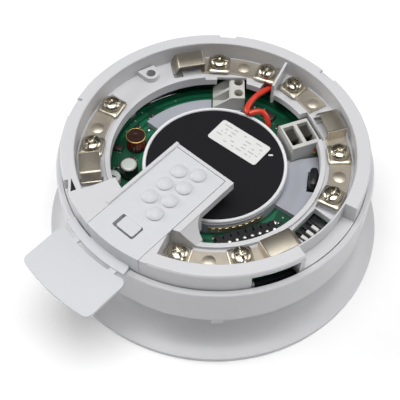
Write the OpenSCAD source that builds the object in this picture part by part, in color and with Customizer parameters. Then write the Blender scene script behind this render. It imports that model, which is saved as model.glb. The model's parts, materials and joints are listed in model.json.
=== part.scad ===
// Detector mounting base with a built-in sounder, lying on its flat back.
// +Z points out of the detector side, -Y points along the address card.
// The origin is the centre of the flat back that meets the ceiling.

/* [Overall] */
// Diameter of the flared back shell
dish_d = 115; // [113:0.5:118]
// Height of the back shell, where the housing sits on it
shell_h = 17.5; // [17:0.25:18.5]
// Outside diameter of the sounder housing
housing_d = 104; // [103:0.5:105]
// Height of the ledge at the top of the housing
ledge_z = 32.5; // [32.2:0.1:33]
// Diameter of the mounting ring
ring_d = 99.8; // [99:0.1:100]
// Overall height of the base
total_h = 40; // [39.6:0.1:41]
// Moulded wall thickness
wall = 2; // [1.6:0.1:2.2]

/* [Mounting] */
// Distance between the two fixing screws in the back
fixing_spacing = 60; // [50:1:66]
// Diameter of the fixing holes
fixing_d = 4.5; // [3.5:0.1:5]
// Diameter of the cable entry in the back
entry_d = 22; // [16:1:26]

/* [Terminals] */
// Distance from the centre to the terminal screws
terminal_r = 40.5; // [40.2:0.1:40.8]
// Thread diameter of the terminal screws
screw_d = 3.5; // [3:0.1:3.6]
// Head diameter of the terminal screws
head_d = 6.6; // [5.6:0.1:7]
// Side length of the square clamp washers
washer_w = 7.6; // [7:0.1:7.8]
// Width of the contact springs and terminal plates
strip_w = 6.8; // [6:0.1:7.2]

/* [Address card] */
// Width of the card plate
card_w = 20.2; // [19:0.2:20.6]
// Thickness of the card plate
card_t = 1.4; // [1.2:0.1:1.5]
// Diameter of the domed pips
pip_d = 5.2; // [4.4:0.1:5.4]

/* [Sounder] */
// Diameter of the black sounder cap
cap_d = 45.6; // [44:0.2:46]
// Height of the top of the circuit board
board_z = 24; // [23.8:0.1:24.2]

/* [Hidden] */
$fn = 64;
dish_r = dish_d / 2;
housing_r = housing_d / 2;
ring_r = ring_d / 2;

// back shell
edge_h = 1.6;
floor_t = 2.2;
cove_r = 9;
neck_r = dish_r - cove_r;
cove_z = edge_h + cove_r;
post_r = 3.4;
pilot_r = 1.3;
post_angles = [60, 180, 300];
post_circle_r = 41;

// sounder housing
seat_z = 30.5;
liner_r0 = 46.8;
liner_r1 = 48.2;
housing_floor_r = 36.5;

// mounting ring
rim_r = 45.3;
deck_z = 33;
curb_r0 = 34.4;
curb_r1 = 36;
curb_top = 34.2;
carrier_top = total_h - card_t - 0.1;
carrier_bottom = 36.9;
carrier_x0 = -9.5;
carrier_x1 = 14.7;
carrier_y = -8.2;
card_x = 2.15;
channel_w = card_w + 0.3;
platform_a0 = 246;

// terminals
plate_t = 0.8;
plate_z = deck_z;
plate_r0 = terminal_r + 0.3 - strip_w / 2;
washer_z = plate_z + plate_t + 0.05;
washer_t = 1;
head_z = washer_z + washer_t + 0.05;
head_h = 2.3;
screw_tip_z = 29.6;
spring_z = 37.2;
spring_t = 0.4;
spring_drop = 2.9;
dimple_h = 0.4;
dimple_sphere_r = 6.2;
screw_angles = [191.8, 217.6, 295.3, 322.2, 16.8, 41.9, 104.7, 129.3, 89.3];
washer_turns = [4, -3, 0, 3, -4, 2, 5, -2, -4];
slot_turns = [20, 65, 40, 10, 75, 30, 5, 85, 50];
// middle angle and flat length of each contact spring
springs = [[230.4, 7.6], [339.2, 9.6], [58.8, 8.2], [143.5, 8.4]];
// first angle, last angle and dimple angle of each plate
plate_spans = [
    [185, 225.6, 206], [289.2, 333.2, 308.5], [12.8, 53.8, 29.5], [99.2, 138.4, 117],
    [72, 94.4, 76]
];

// board and what stands on it
board_t = 1.6;
board_r = 46.4;
chamber_r = 24.2;
chamber_top = 28.9;
gasket_r = 24;
cap_t = 1;
label_t = 0.15;
block_pitch = 5.08;
// distance from the centre, angle, and turn away from the radial direction
block_a = [32.7, 121, 10];
block_b = [30.6, 63.4, 0];
switch_a = 359;
switch_top = 30.6;

// sectors of the rim that are cut away at its outer edge
rim_notches = [[199.2, 208.6], [122.8, 129.4], [76.4, 83.4]];
recess = [343.5, 371];
// bayonet slot in the ring wall, and the drain beside the platform
slot_window = [323.5, 341.5];
drain = [238.4, 246.8];
rim_web = 1.3;
// where the curb is left out, between these angles
curb_gap = [73, 137];
// left wall of the terminal recess beside the card
recess_a = 289;
// round corner of the well beside the card, and the ramp that runs down into it
well_corner_r = 4.4;
ramp_w = 4.4;
// boss for the lock of the detector head
boss_r = 41.8;
boss_a = 163.9;
boss_h = 2;

wire_r = 1;
wire_path = [
    [-7.3, 40.2, 24], [-7.3, 40.2, 26.8], [-7, 39.4, 29.2], [-6.8, 37.2, 31.3],
    [-7, 34, 32.2], [-7.4, 30, 32.4], [-7.2, 26.4, 31.9],
    [-6.2, 23.6, 31.7], [-4.5, 23, 31.6], [-3.2, 24.8, 31.9], [-1.6, 26.4, 31.5],
    [0.2, 26.6, 30.2], [1.4, 26.2, 28.2], [1.6, 26, 26], [1.6, 26, 24]
];

PLATE_NAMES = ["line_in_plate", "line_out_plate", "common_plate", "remote_plate", "earth_plate"];

// ---------- helpers ----------

// children moved out to radius r at angle a, local x outwards, local y along the circle
module polar(r, a) {
    rotate([0, 0, a]) translate([r, 0, 0]) children();
}

// point at radius r and angle a
function at_polar(r, a) = [r * cos(a), r * sin(a)];

// y of the point with the given x on the lower half of a circle about the origin
function below(r, x) = -sqrt(r * r - x * x);

// part of a ring between two radii, two angles and two heights
module sector(r0, r1, a0, a1, z0, z1) {
    rotate([0, 0, a0])
        rotate_extrude(angle = a1 - a0, $fn = 96)
            translate([r0, z0]) square([r1 - r0, z1 - z0]);
}

// box given by its two opposite corners
module box(lo, hi) {
    translate(lo) cube(hi - lo);
}

// flat rectangle with round corners, centred
module rounded(w, h, r) {
    square([w - 2 * r, h], center = true);
    square([w, h - 2 * r], center = true);
    for (x = [-1, 1], y = [-1, 1])
        translate([x * (w / 2 - r), y * (h / 2 - r)]) circle(r, $fn = 32);
}

// ---------- mouldings ----------

module back_shell() color("whitesmoke") {
    difference() {
        rotate_extrude($fn = 96) difference() {
            union() {
                difference() {
                    square([dish_r, cove_z]);
                    translate([dish_r, cove_z]) circle(cove_r, $fn = 96);
                }
                square([neck_r, shell_h]);
            }
            translate([0, floor_t]) square([neck_r - wall, shell_h]);
            difference() {
                translate([0, floor_t]) square([dish_r - 5.5, cove_z - floor_t]);
                translate([dish_r, cove_z]) circle(cove_r + wall, $fn = 96);
            }
        }
        for (x = [-1, 1])
            translate([x * fixing_spacing / 2, 0, -1]) cylinder(d = fixing_d, h = floor_t + 2);
        translate([0, 0, -1]) cylinder(d = entry_d, h = floor_t + 2);
        // sound outlet all round the neck, behind the overhanging housing
        for (a = [4.4:30:334.4]) polar(neck_r, a) box([-wall - 1, -6, 12.4], [1, 6, 15.4]);
        for (a = post_angles) polar(post_circle_r, a) {
            translate([0, 0, -1]) cylinder(r = pilot_r + 0.3, h = shell_h + 2);
            translate([0, 0, -1]) cylinder(r = post_r - 0.4, h = 2.6);
        }
    }
    for (a = post_angles) polar(post_circle_r, a) difference() {
        translate([0, 0, 1.6]) cylinder(r = post_r, h = shell_h - 1.6);
        translate([0, 0, 1]) cylinder(r = pilot_r + 0.3, h = shell_h);
    }
}

module sounder_housing() color("gainsboro") {
    difference() {
        rotate_extrude($fn = 96) polygon([
            [housing_floor_r, shell_h], [housing_r - 0.4, shell_h],
            [housing_r, shell_h + 0.4], [housing_r, ledge_z - 0.4],
            [housing_r - 0.4, ledge_z], [ring_r + 0.15, ledge_z],
            [ring_r + 0.15, shell_h + wall], [liner_r1, shell_h + wall],
            [liner_r1, seat_z], [liner_r0, seat_z],
            [liner_r0, shell_h + wall], [housing_floor_r, shell_h + wall]
        ]);
        for (a = post_angles) polar(post_circle_r, a)
            translate([0, 0, shell_h - 1]) cylinder(r = pilot_r + 0.3, h = wall + 2);
        // cable openings through the housing floor
        for (a = [20, 150, 270]) sector(38.5, 44, a, a + 20, shell_h - 1, shell_h + wall + 1);
    }
    // ledges that carry the circuit board
    for (a = [15, 105, 195, 285]) polar(liner_r0, a)
        box([-2.6, -2.5, shell_h + wall], [0.4, 2.5, board_z - board_t]);
    // three catches that hang below the housing and grip the back shell
    for (a = [72.4, 192.4, 312.4]) polar(neck_r, a)
        box([0.25, -1.9, shell_h - 3.6], [2.7, 1.9, shell_h + 0.1]);
}

// the raised block beside the card, from its left end wall to its right rail
module platform() {
    intersection() {
        rotate_extrude($fn = 96) translate([curb_r0, seat_z])
            square([ring_r - curb_r0, total_h - seat_z]);
        linear_extrude(height = total_h) polygon([
            [0, 0], [60 * cos(platform_a0), 60 * sin(platform_a0)],
            [carrier_x1, -60], [carrier_x1, 0]
        ]);
    }
}

// fills the sharp corner between the card bridge and the curb: round towards the well,
// with a top that slopes from the bridge down to the curb
module well_corner() {
    cx = carrier_x1 + well_corner_r;
    cy = below(curb_r0 - well_corner_r, cx);
    intersection() {
        translate([0, cy, 0]) rotate([90, 0, 0]) linear_extrude(height = 14) polygon([
            [carrier_x1 - 2, seat_z], [carrier_x1 - 2, total_h - 0.4], [carrier_x1, total_h - 0.4],
            [carrier_x1 + ramp_w, curb_top], [cx, curb_top], [cx, seat_z]
        ]);
        translate([0, 0, seat_z]) linear_extrude(height = total_h) difference() {
            circle(curb_r1, $fn = 96);
            translate([cx, cy]) circle(well_corner_r, $fn = 64);
        }
    }
}

module mounting_ring() color("whitesmoke") {
    difference() {
        union() {
            rotate_extrude($fn = 96) polygon([
                [curb_r0, seat_z], [ring_r, seat_z], [ring_r, total_h - 0.5],
                [ring_r - 0.5, total_h], [rim_r + 0.3, total_h], [rim_r, total_h - 0.3],
                [rim_r, deck_z], [curb_r1, deck_z], [curb_r1, curb_top], [curb_r0, curb_top]
            ]);
            platform();
            well_corner();
            box([carrier_x0, -37, carrier_bottom], [carrier_x1, carrier_y, total_h]);
            box([carrier_x0, -40, carrier_bottom],
                [carrier_x0 + 1.2, carrier_y, total_h + 0.4]);
            // divider between the earth terminal and its neighbour
            translate([-6.2, 44.6, 0]) rotate([0, 0, -73.6])
                box([0.4, -0.4, seat_z], [12.6, 0.4, total_h - 0.8]);
            // boss with two corners towards the rim
            polar(boss_r, boss_a) {
                translate([0, 0, deck_z - 1]) cylinder(r = 2.8, h = boss_h + 1);
                translate([0, 0, deck_z - 1]) linear_extrude(height = boss_h + 1)
                    polygon([[3.05, 3.7], [-0.7, 2.7], [0, -2.8], [2.8, -2.75]]);
            }
            // bosses that the assembly screws bite into
            for (a = post_angles) polar(post_circle_r, a)
                translate([0, 0, shell_h + wall]) cylinder(r = post_r - 0.4, h = 12);
        }
        // the curb is left out where the terminal blocks stand
        sector(curb_r0 - 1, curb_r1 + 0.4, curb_gap[0], curb_gap[1], deck_z, deck_z + 3);
        // square end of the terminal recess beside the card
        sector(curb_r1, rim_r - 0.01, recess_a, recess_a + 14, deck_z, total_h + 1);
        // channel for the card plate and the doorway for its front wall
        box([card_x - channel_w / 2, -60, carrier_top], [card_x + channel_w / 2, carrier_y - 1.2, 50]);
        difference() {
            box([card_x - channel_w / 2, -60, ledge_z], [card_x + channel_w / 2, -40, 50]);
            translate([0, 0, ledge_z - 1]) cylinder(r = ring_r - 2.3, h = 20, $fn = 96);
        }
        // groove under the card latch
        box([card_x - 4.6, -60, carrier_top - 1.4], [card_x + 4, -38.6, carrier_top + 1]);
        // hollow under the platform
        intersection() {
            rotate_extrude($fn = 96) translate([curb_r1, seat_z - 1])
                square([rim_r - curb_r1 + 1.2, carrier_top - 1.6 - seat_z + 0.2]);
            linear_extrude(height = total_h) polygon([
                [0, 0], [60 * cos(platform_a0 + 2.6), 60 * sin(platform_a0 + 2.6)],
                [-2, -60], [-2, 0]
            ]);
        }
        for (n = rim_notches) sector(ring_r - 2, ring_r + 2, n[0], n[1], total_h - 1.4, total_h + 1);
        sector(rim_r + 0.6, ring_r + 2, slot_window[0], slot_window[1], seat_z - 1, total_h - 2);
        sector(rim_r + 0.6, ring_r + 2, recess[0], recess[1], ledge_z + 0.5, total_h + 1);
        // drain: a hollow in the rim, open below, and two wedges that lead into it from above
        sector(rim_r + rim_web, ring_r - rim_web, drain[0], drain[1], seat_z - 1, total_h - rim_web);
        translate([0, 0, seat_z + 2]) linear_extrude(height = total_h) polygon([
            at_polar(ring_r - 2.5, drain[0] + 1.2), at_polar(ring_r - 2.8, drain[1] - 1.4),
            at_polar(ring_r - 0.9, drain[1] - 1.4)
        ]);
        translate([0, 0, total_h - 4.2]) linear_extrude(height = total_h) polygon([
            at_polar(ring_r - 1.5, drain[0] + 1.6), at_polar(ring_r + 1, drain[0] + 1.2),
            at_polar(ring_r + 1, drain[1] - 0.4), at_polar(ring_r + 0.1, drain[1] - 0.4)
        ]);
        // window over the tone switch, and the small pocket next to it
        polar(40.2, switch_a) box([-3.4, -6, seat_z - 1], [3.3, 6.2, deck_z + 1]);
        sector(37, 44.4, 9.4, 12.2, deck_z - 1.8, deck_z + 1);
        // terminal screw clearance and the pockets that the springs press into
        for (a = screw_angles) polar(terminal_r, a)
            translate([0, 0, seat_z - 1]) cylinder(r = screw_d / 2 + 0.6, h = deck_z);
        for (s = springs) polar(terminal_r + 0.3, s[0])
            box([-strip_w / 2 - 0.4, s[1] / 2 - 0.8, deck_z - 1.8],
                [strip_w / 2 + 0.4, s[1] / 2 + 2.4, deck_z + 1]);
        polar(boss_r, boss_a) translate([0, 0, seat_z - 1]) cylinder(r = 1.6, h = deck_z);
        for (a = post_angles) polar(post_circle_r, a)
            translate([0, 0, shell_h]) cylinder(r = pilot_r, h = 12.5);
        // room for the two terminal blocks and the red wire
        at_block(block_a) box([-6, -5.2, 20], [5.6, 5.2, deck_z - 1.1]);
        at_block(block_a) box([-6, -5.2, 20], [3.4, 5.2, 50]);
        at_block(block_b) box([-6, -6.6, 20], [6, 6.6, 50]);
        polar(36, 100) box([-3, -1.7, 20], [4.9, 2.6, deck_z - 0.3]);
        polar(36, 100) box([-3, -1.7, 20], [4, 2.6, 50]);
    }
}

module circuit_board() color("seagreen") {
    difference() {
        translate([0, 0, board_z - board_t]) cylinder(r = board_r, h = board_t, $fn = 96);
        translate([0, 0, board_z - 3]) cylinder(r = 9, h = 6);
        for (a = post_angles) polar(post_circle_r, a)
            translate([0, 0, board_z - 3]) cylinder(r = post_r + 0.1, h = 6);
        // cable passages under the terminals
        for (a = [20, 150, 270]) sector(38.5, 43.5, a, a + 20, board_z - 3, board_z + 1);
    }
}

// ---------- sounder ----------

module chamber_wing(r1, a0, a1) {
    sector(chamber_r - 1, r1, a0, a1, board_z, board_z + 2);
}

module sound_chamber() color("lightsteelblue") {
    difference() {
        union() {
            translate([0, 0, board_z]) cylinder(r = chamber_r, h = chamber_top - board_z, $fn = 96);
            chamber_wing(31.4, 112, 180);
            chamber_wing(35.6, 6, 51);
        }
        translate([0, 0, board_z + 1.2]) cylinder(r = 20.5, h = 10, $fn = 96);
        translate([0, 0, board_z + 3]) cylinder(r = 22.3, h = 10, $fn = 96);
        translate([0, 0, board_z - 1]) cylinder(r = 7, h = 4);
        at_block(block_a) box([-5.4, -4.8, 20], [6, 7, 50]);
        at_block(block_b) box([-5.6, -6.3, 20], [6, 6.3, 50]);
        polar(33.1, 33) box([-2.1, -4.1, 20], [4, 4.1, 50]);
    }
}

module chamber_gasket() color("white") {
    rotate_extrude($fn = 96) {
        translate([cap_d / 2 + 0.05, chamber_top]) square([gasket_r - cap_d / 2 - 0.05, 0.8]);
        translate([(gasket_r + cap_d / 2 + 0.05) / 2, chamber_top + 0.8])
            circle((gasket_r - cap_d / 2 - 0.05) / 2, $fn = 32);
    }
}

module sounder_cap() color([0.1, 0.1, 0.11]) {
    translate([0, 0, chamber_top]) cylinder(d = cap_d, h = cap_t, $fn = 96);
}

module piezo_disc() color("goldenrod") {
    translate([0, 0, board_z + 3]) {
        cylinder(r = 22, h = 0.3, $fn = 96);
        cylinder(r = 14, h = 0.55, $fn = 96);
    }
}

module rating_label() color("white") {
    translate([0.3, 11.9, chamber_top + cap_t]) rotate([0, 0, 2.9])
        linear_extrude(height = label_t) rounded(20, 9.6, 1);
}

// ---------- terminals ----------

// stamped plate i: an arc with tapped holes, a pressed dimple and, for the first
// four, an upright ear that a contact spring starts from
module terminal_plate(i) {
    color([0.62, 0.58, 0.51]) {
        difference() {
            sector(plate_r0, plate_r0 + strip_w, plate_spans[i][0], plate_spans[i][1],
                plate_z, plate_z + plate_t);
            for (a = screw_angles) polar(terminal_r, a)
                translate([0, 0, plate_z - 1]) cylinder(r = screw_d / 2 + 0.08, h = 4);
        }
        polar(terminal_r + 0.3, plate_spans[i][2]) intersection() {
            translate([0, 0, plate_z + plate_t + dimple_h - dimple_sphere_r])
                sphere(dimple_sphere_r, $fn = 64);
            translate([0, 0, plate_z + 0.4]) cylinder(r = 3, h = 3);
        }
        if (i < 4) polar(terminal_r + 0.3, springs[i][0])
            box([-strip_w / 2, -springs[i][1] / 2 - 0.5, plate_z + 0.4],
                [strip_w / 2, -springs[i][1] / 2 - 0.1, spring_z + spring_t]);
    }
}

// leaf that presses on a contact of the detector, with its free end folded down
module contact_spring(i) {
    l = springs[i][1] / 2;
    color([0.66, 0.62, 0.55])
        polar(terminal_r + 0.3, springs[i][0])
            translate([-strip_w / 2 + 0.1, 0, 0]) rotate([90, 0, 90])
                linear_extrude(height = strip_w - 0.2) polygon([
                    [-l, spring_z], [l - 0.1, spring_z],
                    [l + 1.6, spring_z - spring_drop], [l + 2, spring_z - spring_drop],
                    [l + 0.35, spring_z + spring_t - 0.25],
                    [l - 0.1, spring_z + spring_t], [-l, spring_z + spring_t]
                ]);
}

module clamp_washer(i) {
    color([0.68, 0.65, 0.58]) polar(terminal_r, screw_angles[i]) difference() {
        translate([0, 0, washer_z]) rotate([0, 0, washer_turns[i]]) linear_extrude(height = washer_t)
            rounded(washer_w, washer_w, 1);
        translate([0, 0, washer_z - 1]) cylinder(r = screw_d / 2 + 0.08, h = 4);
    }
}

// pan head screw with a slot crossed by a short recess
module terminal_screw(i) {
    color([0.74, 0.72, 0.66]) polar(terminal_r, screw_angles[i]) difference() {
        union() {
            translate([0, 0, screw_tip_z]) cylinder(d = screw_d, h = head_z - screw_tip_z + 0.2);
            translate([0, 0, head_z]) rotate_extrude() polygon([
                [0, 0], [head_d / 2, 0], [head_d / 2, head_h * 0.4],
                [head_d * 0.44, head_h * 0.7], [head_d * 0.3, head_h * 0.93], [0, head_h]
            ]);
        }
        rotate([0, 0, slot_turns[i]]) {
            box([-head_d, -0.4, head_z + head_h - 1], [head_d, 0.4, head_z + head_h + 1]);
            box([-0.4, -1.7, head_z + head_h - 1.3], [0.4, 1.7, head_z + head_h + 1]);
        }
    }
}

// ---------- terminal blocks ----------

block_w = 2 * block_pitch;

module at_block(b) { polar(b[0], b[1]) rotate([0, 0, b[2]]) children(); }

// block A: wires enter the sloping face, the screws are reached from above
module block_a_body() color("silver") {
    at_block(block_a) difference() {
        rotate([90, 0, 90]) translate([0, 0, -block_w / 2]) linear_extrude(height = block_w)
            polygon([[-4.5, board_z], [6.5, board_z], [6.5, board_z + 2.4],
                     [0.2, board_z + 7.6], [-4.5, board_z + 7.6]]);
        for (s = [-1, 1]) translate([s * block_pitch / 2, 0, 0]) {
            box([-1.9, -0.6, board_z + 1.6], [1.9, 8, board_z + 7]);
            translate([0, -2.4, board_z + 1]) cylinder(r = 1.6, h = 10);
            box([-1.9, -4, board_z + 1], [1.9, -0.4, board_z + 4.6]);
        }
    }
}

module block_a_cages() color("darkgray") {
    at_block(block_a) for (s = [-1, 1]) translate([s * block_pitch / 2, 0, 0])
        difference() {
            box([-1.8, -3.9, board_z + 1.65], [1.8, 0.6, board_z + 3]);
            translate([0, -2.4, board_z]) cylinder(r = 1.6, h = 8);
        }
}

// screw j of a block, seen from above, with its slot
module block_screw(lift) {
    color([0.72, 0.7, 0.64]) difference() {
        translate([0, 0, board_z + 1.1 + lift]) cylinder(r = 1.52, h = 5);
        box([-2, -0.25, board_z + 5.4 + lift], [2, 0.25, board_z + 8 + lift]);
    }
}

module block_a_screw(j) {
    at_block(block_a) translate([(j * 2 - 1) * block_pitch / 2, -2.4, 0])
        rotate([0, 0, 35 + 40 * j]) block_screw(0);
}

// block B: two rectangular wire windows in the top, screws in the side towards the wall
module block_b_body() color("silver") {
    at_block(block_b) difference() {
        rotate([90, 0, 90]) translate([0, 0, -block_w / 2]) linear_extrude(height = block_w)
            polygon([[-5.9, board_z], [5.9, board_z], [5.9, board_z + 7],
                     [4.9, board_z + 8.2], [-5.9, board_z + 8.2]]);
        for (s = [-1, 1]) translate([s * block_pitch / 2, 0, 0]) {
            box([-1.9, -4.4, board_z + 1], [1.9, 3.6, board_z + 9]);
            translate([0, 3, board_z + 3.6]) rotate([-90, 0, 0]) cylinder(r = 1.6, h = 4);
        }
    }
}

module block_b_cages() color("darkgray") {
    at_block(block_b) for (s = [-1, 1]) translate([s * block_pitch / 2, 0, 0])
        difference() {
            box([-1.8, -1.2, board_z + 1], [1.8, 3.4, board_z + 6.6]);
            translate([0, 0, board_z + 3.6]) rotate([-90, 0, 0]) cylinder(r = 1.6, h = 5);
            box([-1.2, -2, board_z + 1.8], [1.2, 1.2, board_z + 5.4]);
        }
}

module block_b_screw(j) {
    at_block(block_b) translate([(j * 2 - 1) * block_pitch / 2, 0, board_z + 3.6])
        rotate([-90, 0, 0]) color([0.72, 0.7, 0.64]) difference() {
            translate([0, 0, 1.3]) cylinder(r = 1.52, h = 4.2);
            box([-2, -0.25, 4.8], [2, 0.25, 6]);
        }
}

// ---------- parts on the board ----------

module at_inductor() { translate([-27.6, -9.2, board_z]) children(); }

module inductor_core() color([0.25, 0.16, 0.14]) at_inductor() {
    cylinder(r = 3.4, h = 1);
    cylinder(r = 1.5, h = 5.6);
    translate([0, 0, 4.8]) cylinder(r = 3.4, h = 0.9);
}

module inductor_winding() color([0.55, 0.2, 0.1]) at_inductor() difference() {
    translate([0, 0, 1]) cylinder(r = 3.1, h = 3.8);
    translate([0, 0, 0.5]) cylinder(r = 1.5, h = 5);
}

module smoothing_capacitor() color([0.78, 0.8, 0.78]) translate([-20.9, -19.4, board_z]) {
    rotate_extrude() polygon([
        [0, 0], [3, 0], [3, 0.7], [2.8, 0.9], [2.8, 1.1], [3, 1.3], [3, 5.1], [2.7, 5.4], [0, 5.4]
    ]);
}

module driver_transistor() color([0.09, 0.09, 0.1]) polar(32.9, 33) translate([0, 0, board_z]) {
    box([-1.5, -2.2, 0], [1.3, 2.2, 5.6]);
    for (s = [-1, 1]) translate([-0.1, s * 2.2, 0]) cylinder(r = 1.4, h = 5.6);
}

header_n = 8;
header_pitch = 2.54;
module at_header() { translate([25.7, -13.4, board_z]) rotate([0, 0, 60.6]) children(); }

module link_header() color([0.08, 0.08, 0.09]) at_header() difference() {
    box([-header_n * header_pitch / 2, -1.8, 0], [header_n * header_pitch / 2, 3.2, 3]);
    for (k = [0:header_n]) translate([(k - header_n / 2) * header_pitch, 0, 0])
        box([-0.25, 1.4, 1.6], [0.25, 4, 4]);
    for (k = [0:header_n - 1]) translate([(k - header_n / 2 + 0.5) * header_pitch, -0.4, 1])
        cylinder(r = 0.8, h = 3);
}

module header_pins() color([0.85, 0.85, 0.83]) at_header()
    for (k = [0:header_n - 1]) translate([(k - header_n / 2 + 0.5) * header_pitch, -0.4, 1]) {
        cylinder(r = 0.8, h = 2);
        translate([0, 0, 2]) sphere(0.8, $fn = 24);
    }

// surface mounted chips, a trimmer and a status lamp; x, y, length, width, height, turn
chips = [
    [-33, -4, 3.2, 1.6, 0.8, 80], [-33, 3.4, 2, 1.2, 0.6, 100], [-24.8, -14.2, 2, 1.2, 0.6, 30],
    [-31.6, -14.6, 4, 3, 1.2, 25], [-26, -20.6, 2, 1.2, 0.6, 50], [18.4, -24.6, 3.2, 1.6, 0.8, 60],
    [29.6, -1.2, 2, 1.2, 0.6, 0], [17.2, -19.4, 2, 1.2, 0.6, 60], [-10, 31.6, 3.2, 1.6, 0.8, 10],
    [-2.4, 31.4, 4.8, 3.6, 1.4, 5], [3, 30, 2, 1.2, 0.6, 80], [-7, 27.6, 2, 1.2, 0.6, 20]
];

module small_components() color([0.3, 0.28, 0.26]) {
    for (c = chips) translate([c[0], c[1], board_z]) rotate([0, 0, c[5]])
        box([-c[2] / 2, -c[3] / 2, 0], [c[2] / 2, c[3] / 2, c[4]]);
    translate([-22.9, -25.4, board_z]) cylinder(r = 2.8, h = 3);
}

// ---------- tone switch ----------

slider_l = 2.6;
slider_w = 1.1;
slider_travel = 2;
slider_y = [-3.6, -1.06, 1.48];

module tone_switch_body() color([0.09, 0.09, 0.1]) polar(40.2, switch_a) difference() {
    box([-3.1, -5, board_z], [3.1, 2.9, switch_top]);
    for (y = slider_y)
        box([1.9 - slider_l - slider_travel, y - slider_w / 2 - 0.05, switch_top - 1],
            [2, y + slider_w / 2 + 0.05, switch_top + 1]);
}

module tone_slider(j) color("white") polar(40.2, switch_a)
    box([1.9 - slider_l, slider_y[j] - slider_w / 2, switch_top - 0.95],
        [1.9, slider_y[j] + slider_w / 2, switch_top + 0.6]);

// ---------- wire ----------

// Catmull-Rom point between path points k and k + 1
function path_point(p, k, t) =
    let (n = len(p) - 1, a = p[max(k - 1, 0)], b = p[k], c = p[min(k + 1, n)], d = p[min(k + 2, n)])
    0.5 * (2 * b + (c - a) * t + (2 * a - 5 * b + 4 * c - d) * t * t
        + (3 * b - a - 3 * c + d) * t * t * t);

steps = 5;
wire_points = concat(
    [for (k = [0:len(wire_path) - 2], s = [0:steps - 1]) path_point(wire_path, k, s / steps)],
    [wire_path[len(wire_path) - 1]]
);

function unit(v) = v / norm(v);

module tube(points, r, sides) {
    n = len(points);
    dirs = [for (i = [0:n - 1]) unit(points[min(i + 1, n - 1)] - points[max(i - 1, 0)])];
    ref = [1, 0.35, 0.1];
    rings = [for (i = [0:n - 1])
        let (u = unit(cross(dirs[i], ref)), v = cross(dirs[i], u))
        [for (j = [0:sides - 1]) points[i] + r * (cos(360 * j / sides) * u + sin(360 * j / sides) * v)]];
    verts = [for (ring = rings) each ring];
    polyhedron(verts, concat(
        [[for (j = [0:sides - 1]) j]],
        [[for (j = [sides - 1:-1:0]) (n - 1) * sides + j]],
        [for (i = [0:n - 2], j = [0:sides - 1])
            [i * sides + j, (i + 1) * sides + j,
             (i + 1) * sides + (j + 1) % sides, i * sides + (j + 1) % sides]]
    ), convexity = 4);
}

module red_link_wire() color([0.85, 0.2, 0.14]) tube(wire_points, wire_r, 8);

// ---------- screws that hold the mouldings together ----------

module assembly_screws() color([0.6, 0.6, 0.6])
    for (a = post_angles) polar(post_circle_r, a) difference() {
        union() {
            cylinder(r = post_r - 0.5, h = 1.6);
            cylinder(r = pilot_r, h = shell_h + 11);
        }
        box([-0.5, -1.8, -1], [0.5, 1.8, 0.8]);
        box([-1.8, -0.5, -1], [1.8, 0.5, 0.8]);
    }

// ---------- address card ----------

pip_pitch = 6.5;
left_pips = [for (k = [0:2]) [-0.9, -16.5 - k * pip_pitch]];
right_pips = [for (k = [0:3]) [4.7, -13.7 - k * pip_pitch]];
strip_r0 = ring_r + 0.35;
strip_r1 = housing_r + 1.2;
strip_z0 = ledge_z + 0.05;
tab_x0 = -16.8;
tab_x1 = 12.2;
tab_r0 = strip_r1 + 1.2;
tab_r1 = 70.6;
tab_z1 = ledge_z + 1.1;
tab_corner = 2;
latch_x0 = -1.3;
latch_x1 = 5.4;
latch_y0 = -43.9;
latch_y1 = -39.4;

// outline of the tab: an arc-shaped band whose four corners are rounded
module tab_outline(c = tab_corner) {
    x0 = tab_x0 + c;
    x1 = tab_x1 - c;
    outer = [[x0, below(tab_r1 - c, x0)], [x1, below(tab_r1 - c, x1)]];
    inner = [[x0, below(tab_r0 + c, x0)], [x1, below(tab_r0 + c, x1)]];
    intersection() {
        difference() {
            circle(tab_r1, $fn = 96);
            circle(tab_r0, $fn = 96);
        }
        polygon([
            0.7 * inner[0], inner[0], outer[0], 1.3 * outer[0],
            1.3 * outer[1], outer[1], inner[1], 0.7 * inner[1]
        ]);
    }
    for (p = concat(outer, inner)) translate(p) circle(c, $fn = 48);
    for (k = [0, 1]) polygon([
        outer[k], inner[k], inner[k] + [k == 0 ? -c : c, 0], outer[k] + [k == 0 ? -c : c, 0]
    ]);
}

module label_tab() {
    translate([0, 0, strip_z0]) linear_extrude(height = tab_z1 - strip_z0) tab_outline();
    for (x = [-9.9, 6.2])
        box([x - 1.2, -tab_r0 - 0.6, strip_z0], [x + 1.2, -strip_r1 + 1.4, tab_z1]);
}

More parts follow.
